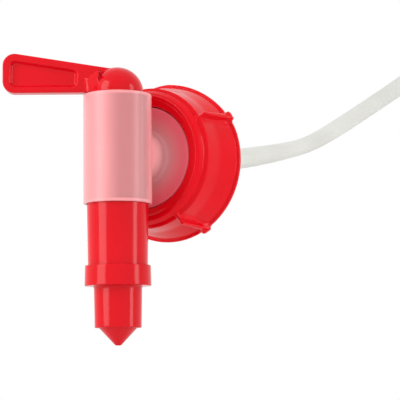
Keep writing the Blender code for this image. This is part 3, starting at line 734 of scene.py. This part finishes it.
def surface(field, xs, ys, zs):
    """Points, quads and normals of a field's zero level: one point in each cell that it crosses."""
    values = sample(field, xs, ys, zs)
    inside = values < 0
    shape = tuple(n - 1 for n in values.shape)
    count = np.zeros(shape, np.uint8)
    for a in (0, 1):
        for b in (0, 1):
            for c in (0, 1):
                count += inside[a:a + shape[0], b:b + shape[1], c:c + shape[2]]
    mixed = (count > 0) & (count < CELL_CORNERS)
    cells = np.argwhere(mixed)
    number = np.full(shape, -1, np.int32)
    number[mixed] = np.arange(len(cells))
    axes = (xs, ys, zs)
    total = np.zeros((len(cells), 3))
    hits = np.zeros(len(cells))
    for axis in range(3):
        others = [n for n in range(3) if n != axis]
        for b in (0, 1):
            for c in (0, 1):
                near = cells.copy()
                near[:, others[0]] += b
                near[:, others[1]] += c
                far = near.copy()
                far[:, axis] += 1
                v0, v1 = values[tuple(near.T)], values[tuple(far.T)]
                crossed = (v0 < 0) != (v1 < 0)
                share = np.where(crossed, v0 / np.where(crossed, v0 - v1, 1.0), 0.0)
                for n in range(3):
                    p0, p1 = axes[n][near[:, n]], axes[n][far[:, n]]
                    total[:, n] += np.where(crossed, p0 + (p1 - p0) * share, 0.0)
                hits += crossed
    points = total / hits[:, None]
    quads = []
    for axis in range(3):
        first, second = [n for n in range(3) if n != axis]
        low = inside.take(range(values.shape[axis] - 1), axis=axis)
        high = inside.take(range(1, values.shape[axis]), axis=axis)
        edges = np.argwhere(low != high)
        keep = (edges[:, first] > 0) & (edges[:, second] > 0)
        keep &= (edges[:, first] < shape[first]) & (edges[:, second] < shape[second])
        edges = edges[keep]
        corners = []
        for b, c in ((-1, -1), (0, -1), (0, 0), (-1, 0)):
            cell = edges.copy()
            cell[:, first] += b
            cell[:, second] += c
            corners.append(number[tuple(cell.T)])
        found = np.stack(corners, axis=1)
        flip = low[tuple(edges.T)] == (axis == 1)
        found[flip] = found[flip][:, ::-1]
        quads.append(found)
    step = min(np.diff(axis).min() for axis in axes)
    for _ in range(CORRECTIONS):
        slope = gradient(field, points)
        away = field(*points.T) / np.maximum((slope ** 2).sum(1), LEAST_SLOPE_SQUARED)
        move = slope * away[:, None]
        size = np.linalg.norm(move, axis=1)[:, None]
        points = points - move * np.minimum(1.0, CORRECTION_LIMIT * step / np.maximum(size, TINY))
    slope = gradient(field, points)
    normals = slope / np.maximum(np.linalg.norm(slope, axis=1)[:, None], TINY)
    return points, np.concatenate(quads), normals


# Outlines; those of turned solids run past the axis, and those of cuts past the solid's ends

PAST_AXIS = -1.0
PAST_END = 3.0


def arc(centre, radius, start, end, steps):
    turns = [math.radians(start + (end - start) * i / steps) for i in range(steps + 1)]
    return [(centre[0] + radius * math.cos(t), centre[1] + radius * math.sin(t)) for t in turns]


def bent(before, corner, after, reach, steps=6):
    """Points along a corner that is rounded over a reach in Y to either side."""
    before, corner, after = (np.array(point) for point in (before, corner, after))
    start = corner + (before - corner) * reach / abs(before[1] - corner[1])
    end = corner + (after - corner) * reach / abs(after[1] - corner[1])
    shares = [i / steps for i in range(steps + 1)]
    return [tuple(start * (1 - t) ** 2 + corner * 2 * t * (1 - t) + end * t * t) for t in shares]


# Screw cap

def cap_outline():
    hole = DISC_R + HOLE_GAP
    front = WALL_Y - FRONT_WALL
    round_y = front - FRONT_DOME + SHOULDER_ROUND
    turned = SHOULDER_Y - round_y + SHOULDER_ROUND * math.sin(SHOULDER_LEAN)
    leant = turned * math.tan(SHOULDER_LEAN)
    round_r = SHOULDER_R - leant - SHOULDER_ROUND * math.cos(SHOULDER_LEAN)
    outline = [(hole, WALL_Y), (hole, front), (hole + FRONT_SLOPE, front - FRONT_RISE)]
    outline += arc((round_r, round_y), SHOULDER_ROUND, SHOULDER_START_DEGREES,
                   -math.degrees(SHOULDER_LEAN), steps=8)
    outline += [(SHOULDER_R, SHOULDER_Y), (GROOVE_R, GROOVE_FRONT), (GROOVE_R, GROOVE_BACK)]
    step, end = (STEP_R, STEP_Y), (SKIRT_END_R, CAP_DEPTH - CAP_LIP)
    outline += [step] + bent(step, (BEND_R, BEND_Y), end, BEND_ROUND) + [end]
    outline += [(RIM_R, end[1] + CAP_LIP_BEVEL), (RIM_R, CAP_DEPTH)]
    outline += [(THREAD_R + MOUTH_BEVEL, CAP_DEPTH), (THREAD_R, CAP_DEPTH - MOUTH_BEVEL)]
    outline += [(THREAD_R, INNER_DEPTH + INNER_RUN), (CAP_INNER_R, INNER_DEPTH)]
    outline += [(CAP_INNER_R, WALL_Y)]
    return outline


def ridge_outline():
    """Side view of a lug, from well inside the cap's wall out to the ridge."""
    ridge = [(radius, y) for y, radius in LUG_RIDGE]
    return [(LUG_INSIDE_R, ridge[0][1])] + ridge + [(LUG_INSIDE_R, ridge[-1][1])]


cap_table = Table(cap_outline())
ridge_table = Table(ridge_outline(), rounding=0.15)


def thread_height(turn, y):
    """How far the thread stands in from the wall at a turn and depth."""
    start = CAP_DEPTH - THREAD_MOUTH - THREAD_PITCH * THREAD_TURNS
    turns_in = (y - start) / THREAD_PITCH
    whole = np.round(turns_in - turn / math.tau)
    at = np.clip(whole + turn / math.tau, 0.0, THREAD_TURNS)
    off = np.abs(y - start - at * THREAD_PITCH)
    ends = np.clip(np.minimum(at, THREAD_TURNS - at) * THREAD_ENDS, 0.0, 1.0)
    sides = (THREAD_FOOT / 2 - off) / ((THREAD_FOOT - THREAD_CREST) / 2)
    return THREAD_HEIGHT * ends * np.clip(sides, 0.0, 1.0)


def cap_field(x, y, z):
    """The cap in its own frame, where the first lug lies on the X axis."""
    radius, turn = np.hypot(x, z), np.arctan2(z, x) + LUG_FIRST_TURN
    off = np.clip(1.0 - ((turn - FLAT_SIDE_TURN) / FLAT_SIDE_HALF) ** 2, 0.0, 1.0)
    outer = np.clip((radius - FLAT_BEYOND_R) / FLAT_FADE, 0.0, 1.0)
    inner = np.clip((THREAD_WITHIN_R - radius) / THREAD_FADE, 0.0, 1.0)
    inwards = thread_height(np.mod(turn, math.tau), y) * inner
    shell = cap_table(radius + inwards + off * outer * FLAT_SIDE, y)
    quarter = math.tau / LUG_COUNT
    folded = np.mod(turn - LUG_FIRST_TURN + quarter / 2, quarter) - quarter / 2
    out, aside = radius * np.cos(folded), np.abs(radius * np.sin(folded))
    crest = ridge_table(out, y)
    half_y, half = np.array(LUG_HALF).T
    width = np.interp(y, half_y, half)
    round_r = np.minimum(width * LUG_ROUND_SHARE, LUG_ROUND)
    depth = np.clip(-crest, 0.0, LUG_FLARE_DEPTH)
    width = width + LUG_DRAFT * depth + LUG_FLARE * depth ** 2
    rib = round_edge(aside - (width - round_r), crest + round_r, round_r)
    rib = np.maximum(rib, LUG_FOOT_R + LUG_FOOT_STEP * (y > INNER_DEPTH) - out)
    return unite(shell, rib, LUG_FILLET)


# Tap body

def body_outline():
    fillet = (NECK_R + NECK_FILLET, DISC_FACE_Y - NECK_FILLET)
    outline = [(PAST_AXIS, BARREL_Y), (NECK_R, BARREL_Y)]
    outline += arc(fillet, NECK_FILLET, 180, 90, steps=8)
    outline += [(DISC_R, DISC_FACE_Y), (DISC_R, LIP_FRONT_Y)]
    outline += [(LIP_R, LIP_FRONT_Y), (LIP_R, LIP_BACK_Y)]
    outline += [(RING_R, LIP_BACK_Y), (RING_R, -RING_SETBACK)]
    outline += [(RING_R - RING_WALL, -RING_SETBACK)]
    outline += [(RING_R - RING_WALL, PLATE_BACK_Y), (NECK_R, PLATE_BACK_Y)]
    outline += [(NECK_R, SPIGOT_END_Y), (PAST_AXIS, SPIGOT_END_Y)]
    return outline


def plug_radius(z):
    """Radius of plug and spout, which taper downwards without a break."""
    heights = (SPOUT_END_Z, BARREL_BOTTOM, BARREL_TOP)
    return float(np.interp(z, heights, (SPOUT_END_R, PLUG_BOTTOM_R, PLUG_TOP_R)))


def bead(gap):
    """Snap ring across a profile that climbs in Z."""
    middle = BARREL_TOP - BEAD_DROP
    return [
        (plug_radius(middle - BEAD_HALF) + gap, middle - BEAD_HALF),
        (plug_radius(middle) + gap + BEAD_PROUD, middle - BEAD_HALF / 3),
        (plug_radius(middle) + gap + BEAD_PROUD, middle + BEAD_HALF / 3),
        (plug_radius(middle + BEAD_HALF) + gap, middle + BEAD_HALF),
    ]


def barrel_outline():
    return [
        (PAST_AXIS, BARREL_BOTTOM),
        (BARREL_R, BARREL_BOTTOM),
        (BARREL_R, BARREL_TOP),
        (PAST_AXIS, BARREL_TOP),
    ]


def bore_outline():
    return [
        (PAST_AXIS, BARREL_BOTTOM - PAST_END),
        (plug_radius(BARREL_BOTTOM) + FIT_GAP, BARREL_BOTTOM - PAST_END),
        *bead(FIT_GAP),
        (PLUG_TOP_R + FIT_GAP, BARREL_TOP + PAST_END),
        (PAST_AXIS, BARREL_TOP + PAST_END),
    ]


body_table = Table(body_outline(), mirror=True)
barrel_table = Table(barrel_outline(), rounding=0.18, mirror=True)
bore_table = Table(bore_outline(), rounding=0.12, mirror=True)


def body_field(x, y, z):
    from_neck, from_axis = np.hypot(x, z), np.hypot(x, y - BARREL_Y)
    solid = body_table(from_neck, y)
    boss_ends = np.maximum(BOSS_FRONT_Y - y, y - SOCKET_MOUTH_Y)
    boss = common(rod(x, z - SOCKET_Z, BOSS_R), boss_ends, BOSS_EDGE)
    solid = unite(solid, boss, BOSS_FILLET)
    solid = unite(solid, barrel_table(from_axis, z), BARREL_FILLET)
    lower = common(from_neck - NECK_BORE_R, z + PARTITION / 2, PARTITION_EDGE)
    solid = cut(solid, np.maximum(lower, BARREL_Y - y), BORE_EDGE)
    upper = common(from_neck - NECK_BORE_R, PARTITION / 2 - z, PARTITION_EDGE)
    upper = np.maximum(upper, np.maximum(BARREL_Y - y, y - UPPER_BORE_END_Y))
    solid = cut(solid, upper, BORE_EDGE)
    socket = np.maximum(rod(x, z - SOCKET_Z, SOCKET_R), SOCKET_FLOOR_Y - y)
    solid = cut(solid, socket, BORE_EDGE)
    passage = np.maximum(rod(x, z - SOCKET_Z, AIR_PASSAGE_R), AIR_PASSAGE_Y - y)
    solid = cut(solid, passage, AIR_PASSAGE_EDGE)
    return cut(solid, bore_table(from_axis, z), BARREL_BORE_EDGE)


# Key, in its own frame: X along the lever away from its free end, origin on the barrel's axis

def key_outline():
    outline = [(PAST_AXIS, SPOUT_END_Z), (SPOUT_END_R, SPOUT_END_Z)]
    outline += [(PLUG_BOTTOM_R, BARREL_BOTTOM)] + bead(0.0)
    outline += [(PLUG_TOP_R, PLUG_END), (HUB_R, PLUG_END)]
    outline += arc((0.0, PLUG_END + HUB_BASE), HUB_R, 0, 90, steps=24)
    return outline + [(PAST_AXIS, PLUG_END + HUB_BASE + HUB_R)]


def cavity_outline():
    inner = HUB_R - HUB_WALL
    wall_r = PLUG_BOTTOM_R - PLUG_WALL
    bottom = SPOUT_END_Z - PAST_END
    outline = [(PAST_AXIS, bottom), (SPOUT_END_R - SPOUT_WALL, bottom)]
    outline += [(wall_r, BARREL_BOTTOM), (wall_r, PLUG_END - CAVITY_WALL_DROP)]
    outline += [(inner, PLUG_END - CAVITY_HUB_DROP)]
    outline += arc((0.0, PLUG_END + HUB_BASE), inner, 0, 90, steps=16)
    return outline + [(PAST_AXIS, PLUG_END + HUB_BASE + inner)]


def offset_outline(corners, distance):
    """Move each side of a convex counter-clockwise outline inwards."""
    moved = []
    for i, corner in enumerate(corners):
        before = (Vector(corner) - Vector(corners[i - 1])).normalized()
        after = (Vector(corners[(i + 1) % len(corners)]) - Vector(corner)).normalized()
        normal_before, normal_after = Vector((-before.y, before.x)), Vector((-after.y, after.x))
        reach = distance / (1.0 + normal_before.dot(normal_after))
        moved.append(tuple(Vector(corner) + (normal_before + normal_after) * reach))
    return moved


class Rounded:
    """Distance to a convex outline whose corners have one radius."""

    def __init__(self, corners, radius):
        self.radius = radius
        self.table = Table(offset_outline(corners, radius), rounding=0.12,
                           margin=TABLE_MARGIN + radius)

    def __call__(self, a, b):
        return self.table(a, b) - self.radius


LEVER_SLOPE = (LEVER_END_RISE - LEVER_AXIS_RISE) / LEVER_LENGTH


def lever_corners():
    """The free end's corners are rounded, and the other two lie inside the hub."""
    past = LEVER_PAST_AXIS
    return [
        (-LEVER_LENGTH, LEVER_FOOT_Z),
        (past, LEVER_FOOT_Z),
        (past, BARREL_TOP + LEVER_AXIS_RISE - LEVER_SLOPE * past),
        (-LEVER_LENGTH, BARREL_TOP + LEVER_END_RISE),
    ]


def panel_corners():
    foot = LEVER_FOOT_Z + PANEL_FOOT
    drop = PANEL_BORDER * math.hypot(1.0, LEVER_SLOPE)
    near, far = PANEL_NEAR_END, LEVER_LENGTH - PANEL_BORDER
    top = BARREL_TOP + LEVER_AXIS_RISE - drop
    return [(-far, foot), (-near, foot), (-near, top + LEVER_SLOPE * near),
            (-far, top + LEVER_SLOPE * far)]


key_table = Table(key_outline(), mirror=True)
cavity_table = Table(cavity_outline(), mirror=True)
lever_shape = Rounded(lever_corners(), LEVER_CORNER_R)
panel_shape = Rounded(panel_corners(), PANEL_CORNER_R)


def lever_field(x, y, z):
    """Lever with a sunk panel on either side."""
    side = np.abs(y) - LEVER_HALF + LEVER_EDGE
    plate = round_edge(lever_shape(x, z) + LEVER_EDGE, side, LEVER_EDGE)
    plate = np.maximum(plate, x)
    sunk = LEVER_HALF - np.abs(y)
    drafted = panel_shape(x, z) + PANEL_DRAFT / PANEL_DEPTH * sunk
    recess = common(drafted, sunk - PANEL_DEPTH, PANEL_FLOOR_ROUND)
    return cut(plate, recess, PANEL_EDGE)


def root_field(x, y, z):
    """Gusset that widens from the lever's thickness until its flat sides meet the hub."""
    share = np.clip((x + ROOT_START) / (ROOT_START - ROOT_END), 0.0, 1.0)
    foot = LEVER_FOOT_Z + ROOT_FOOT_GAP
    rise = BARREL_TOP + ROOT_START_RISE + (ROOT_END_RISE - ROOT_START_RISE) * share
    up = np.clip((z - foot) / (rise - foot), 0.0, 1.0)
    half = ROOT_START_HALF + (ROOT_END_HALF - ROOT_START_HALF) * share - ROOT_LEAN * (1.0 - up)
    sides, top = (np.abs(y) - half) * ROOT_SIDE_SHARE, (z - rise) * ROOT_TOP_SHARE
    ends = np.maximum(-ROOT_START - x, x + ROOT_END)
    return np.maximum(common(common(sides, top, ROOT_EDGE), foot - z, ROOT_FOOT_EDGE), ends)


def key_field(x, y, z):
    from_axis = np.hypot(x, y)
    handle = unite(lever_field(x, y, z), root_field(x, y, z), HANDLE_FILLET)
    solid = unite(key_table(from_axis, z), handle, HUB_FILLET)
    solid = cut(solid, cavity_table(from_axis, z), CAVITY_EDGE)
    window = np.maximum(rod(y, z, WINDOW_R), PLUG_WALL - x)
    return cut(solid, window, WINDOW_EDGE)


# Nozzle, stopper and gasket, each turned from one outline

def nozzle_outline():
    socket_top = plug_radius(COLLAR_TOP_Z) + FIT_GAP
    socket_end = plug_radius(SPOUT_END_Z) + FIT_GAP
    outer = socket_top + COLLAR_WALL
    floor = COLLAR_END_Z + COLLAR_FLOOR
    fillet = (NOZZLE_TOP_R + NOZZLE_FILLET, COLLAR_END_Z - NOZZLE_FILLET)
    outline = [(socket_top, COLLAR_TOP_Z), (outer, COLLAR_TOP_Z)]
    outline += [(outer + COLLAR_FLARE, COLLAR_END_Z)]
    outline += arc(fillet, NOZZLE_FILLET, 90, 180, steps=6)
    outline += [(NOZZLE_END_R, NOZZLE_END_Z), (NOZZLE_BORE_R, NOZZLE_END_Z)]
    return outline + [(NOZZLE_BORE_R, floor), (socket_end, floor)]


def stopper_outline():
    inner = SHANK_R - STOPPER_WALL
    return [
        (PAST_AXIS, CONE_TIP_Z),
        (CONE_TIP_R, CONE_TIP_Z),
        (CONE_R, NOZZLE_END_Z - FIT_GAP),
        (SHANK_R, NOZZLE_END_Z),
        (SHANK_R, SHANK_TOP_Z),
        (inner, SHANK_TOP_Z),
        (inner, NOZZLE_END_Z),
        (CONE_HOLLOW_R, CONE_HOLLOW_Z),
        (PAST_AXIS, CONE_HOLLOW_Z),
    ]


def gasket_outline():
    outer, front, back = gasket_high[0], gasket_low[1], gasket_high[1]
    return [(GASKET_INNER_R, front), (outer, front), (outer, back), (GASKET_INNER_R, back)]


nozzle_table = Table(nozzle_outline(), rounding=0.18)
stopper_table = Table(stopper_outline(), rounding=0.15, mirror=True)
gasket_table = Table(gasket_outline(), rounding=0.15)


def nozzle_field(x, y, z):
    return nozzle_table(np.hypot(x, y), z)


def stopper_field(x, y, z):
    return stopper_table(np.hypot(x, y), z)


def gasket_field(x, y, z):
    return gasket_table(np.hypot(x, z), y)


# Pieces, on grids of (start, end, step) that are finer across small details

CAP_PLACE = Matrix.Rotation(-LUG_FIRST_TURN, 4, "Y")
KEY_PLACE = Matrix.Translation((0.0, BARREL_Y * MM, 0.0)) @ Matrix.Rotation(REST_TURN, 4, "Z")
MARGIN = 1.0
CAP_HALF = RIM_R + 3.0
CAP_FRONT = -11.0
CAP_FINE_BACK = -4.0
LUG_BAND = 3.2
BODY_HALF = LIP_R + MARGIN
BODY_FINE_FRONT = DISC_FACE_Y - 3.0
BODY_FINE_BACK = 0.5
KEY_HALF = PLUG_TOP_R + 1.5
KEY_TOP = key_high[2] + 2.0
KEY_FINE_FOOT = BARREL_TOP - 6.5
LEVER_BAND = 4.2
NOZZLE_HALF = nozzle_high[0] + MARGIN
STOPPER_HALF = SHANK_R + MARGIN
GASKET_HALF = gasket_high[0] + MARGIN
GASKET_GRID_Y = (-3.5, 1.1)


def field_piece(name, field, grid, material, body, place=None):
    """Piece meshed from a distance field; place takes it from its own frame to the CAD's."""
    points, quads, normals = surface(field, *grid)
    if place is not None:
        turn = np.array(place.to_3x3())
        points = points @ turn.T + np.array(place.translation) / MM
        normals = normals @ turn.T
    return make_piece(name, points, quads, material, body, name, normals)


cap_across = graded((-CAP_HALF, -LUG_BAND, 0.62), (-LUG_BAND, LUG_BAND, 0.3),
                    (LUG_BAND, CAP_HALF, 0.62))
cap_depth = graded((CAP_FRONT, CAP_FINE_BACK, 0.4), (CAP_FINE_BACK, CAP_DEPTH + MARGIN, 0.5))
field_piece("screw_cap", cap_field, (cap_across, cap_depth, cap_across),
            CAP_RED, "cap", CAP_PLACE)

body_across = graded((-BODY_HALF, BODY_HALF, 0.58))
body_depth = graded((BARREL_Y - BARREL_R - MARGIN, BODY_FINE_FRONT, 0.6),
                    (BODY_FINE_FRONT, BODY_FINE_BACK, 0.5),
                    (BODY_FINE_BACK, SOCKET_MOUTH_Y + MARGIN, 0.6))
field_piece("tap_body", body_field, (body_across, body_depth, body_across),
            NATURAL, "body")

key_along = graded((-LEVER_LENGTH - MARGIN, -KEY_HALF, 0.45), (-KEY_HALF, KEY_HALF, 0.55))
key_across = graded((-KEY_HALF, -LEVER_BAND, 0.55), (-LEVER_BAND, LEVER_BAND, 0.35),
                    (LEVER_BAND, KEY_HALF, 0.55))
key_up = graded((SPOUT_END_Z - MARGIN, BARREL_BOTTOM, 0.8), (BARREL_BOTTOM, KEY_FINE_FOOT, 0.7),
                (KEY_FINE_FOOT, KEY_TOP, 0.45))
field_piece("key", key_field, (key_along, key_across, key_up),
            RED, "key", KEY_PLACE)

nozzle_across = graded((-NOZZLE_HALF, NOZZLE_HALF, 0.48))
nozzle_up = graded((NOZZLE_END_Z - MARGIN, COLLAR_TOP_Z + MARGIN, 0.42))
field_piece("spout_nozzle", nozzle_field, (nozzle_across, nozzle_across, nozzle_up),
            RED, "key", KEY_PLACE)

stopper_across = graded((-STOPPER_HALF, STOPPER_HALF, 0.4))
stopper_up = graded((CONE_TIP_Z - MARGIN, SHANK_TOP_Z + MARGIN, 0.4))
field_piece("nozzle_stopper", stopper_field, (stopper_across, stopper_across, stopper_up),
            RED, "key", KEY_PLACE)

gasket_across = graded((-GASKET_HALF, GASKET_HALF, 0.6))
gasket_depth = graded((*GASKET_GRID_Y, 0.4))
field_piece("neck_gasket", gasket_field, (gasket_across, gasket_depth, gasket_across),
            FOAM, "body")


# Studio: white ground, pale floor below, soft boxes on both sides and above

FLOOR_Z = -0.17
FLOOR_HALF = 4.0
FLOOR_COLOUR = (0.86, 0.86, 0.86, 1.0)
FLOOR_ROUGHNESS = 0.9

# Share of plain white in the seen floor near the tap, and where it starts and ends to rise to 1
NEAR_WHITE = 0.55
WHITENING = (0.35, 1.3)
WHITE = (1.0, 1.0, 1.0, 1.0)
AMBIENT = 0.62

# Azimuth and elevation as seen from the tap, distance, width, height, radiance, and whether
# the lamp shows in reflections
SOFT_BOXES = (
    ("left_box", -56.0, 19.0, 0.9, 0.5, 0.86, 4.4, True),
    ("far_left_box", -104.0, 10.0, 0.9, 0.4, 0.9, 0.8, False),
    ("right_box", 69.0, 5.0, 0.9, 0.25, 0.85, 5.5, True),
    ("top_box", -10.0, 72.0, 0.9, 0.8, 0.6, 0.8, False),
    ("right_fill", 45.0, 15.0, 1.2, 1.0, 1.0, 0.4, False),
)


def background_rays(tree):
    """1 for the rays that show the background: seen, mirrored or through clear material."""
    path = add_node(tree, "ShaderNodeLightPath")
    seen = combine(tree, "MAXIMUM", path.outputs["Is Camera Ray"], path.outputs["Is Glossy Ray"])
    return combine(tree, "MAXIMUM", seen, path.outputs["Is Transmission Ray"])


def make_floor():
    """Pale floor that keeps the tap's shadow and runs into the white ground."""
    material, tree, shader = new_material("pale_floor")
    material.cycles.emission_sampling = "NONE"
    shader.inputs["Base Color"].default_value = FLOOR_COLOUR
    shader.inputs["Roughness"].default_value = FLOOR_ROUGHNESS
    shader.inputs["Specular IOR Level"].default_value = 0.0
    glow = add_node(tree, "ShaderNodeEmission", Strength=1.0)
    distance = add_node(tree, "ShaderNodeVectorMath", operation="LENGTH")
    place = add_node(tree, "ShaderNodeTexCoord").outputs["Object"]
    tree.links.new(place, distance.inputs[0])
    rising = ramp(tree, distance.outputs["Value"], *WHITENING, NEAR_WHITE, 1.0)
    share = product(tree, background_rays(tree), rising)
    tree.links.new(shader_mix(tree, share, shader.outputs[0], glow.outputs[0]),
                   tree.nodes["Material Output"].inputs["Surface"])
    signs = ((-1, -1), (1, -1), (1, 1), (-1, 1))
    corners = [(x * FLOOR_HALF, y * FLOOR_HALF, FLOOR_Z) for x, y in signs]
    mesh = bpy.data.meshes.new("floor")
    mesh.from_pydata(corners, [], [(0, 1, 2, 3)])
    mesh.materials.append(material)
    new_object("floor", mesh)


def make_world():
    """White where it is seen, mirrored or seen through, and an even soft light besides."""
    world = bpy.data.worlds.new("studio")
    bpy.context.scene.world = world
    world.use_nodes = True
    tree = world.node_tree
    sky = tree.nodes["Background"]
    sky.inputs["Color"].default_value = WHITE
    strength = add_node(tree, "ShaderNodeMix", data_type="FLOAT")
    strength.inputs[2].default_value = AMBIENT
    strength.inputs[3].default_value = 1.0
    tree.links.new(background_rays(tree), strength.inputs[0])
    tree.links.new(strength.outputs[0], sky.inputs["Strength"])


def soft_box(name, azimuth, elevation, distance, width, height, radiance, mirrored):
    """Area lamp that faces the tap; azimuth is counted from the camera's side to its right."""
    out = direction(math.radians(CAMERA_AZIMUTH + azimuth), math.radians(elevation))
    lamp = bpy.data.lights.new(name, "AREA")
    lamp.shape = "RECTANGLE"
    lamp.size = width
    lamp.size_y = height
    lamp.energy = radiance * math.pi * width * height
    item = new_object(name, lamp)
    facing = out.to_track_quat("Z", "Y").to_matrix().to_4x4()
    item.matrix_world = Matrix.Translation(out * distance) @ facing
    item.visible_camera = False
    item.visible_glossy = mirrored


make_floor()
make_world()
for box in SOFT_BOXES:
    soft_box(*box)

scene = bpy.context.scene
scene.view_settings.view_transform = "Standard"
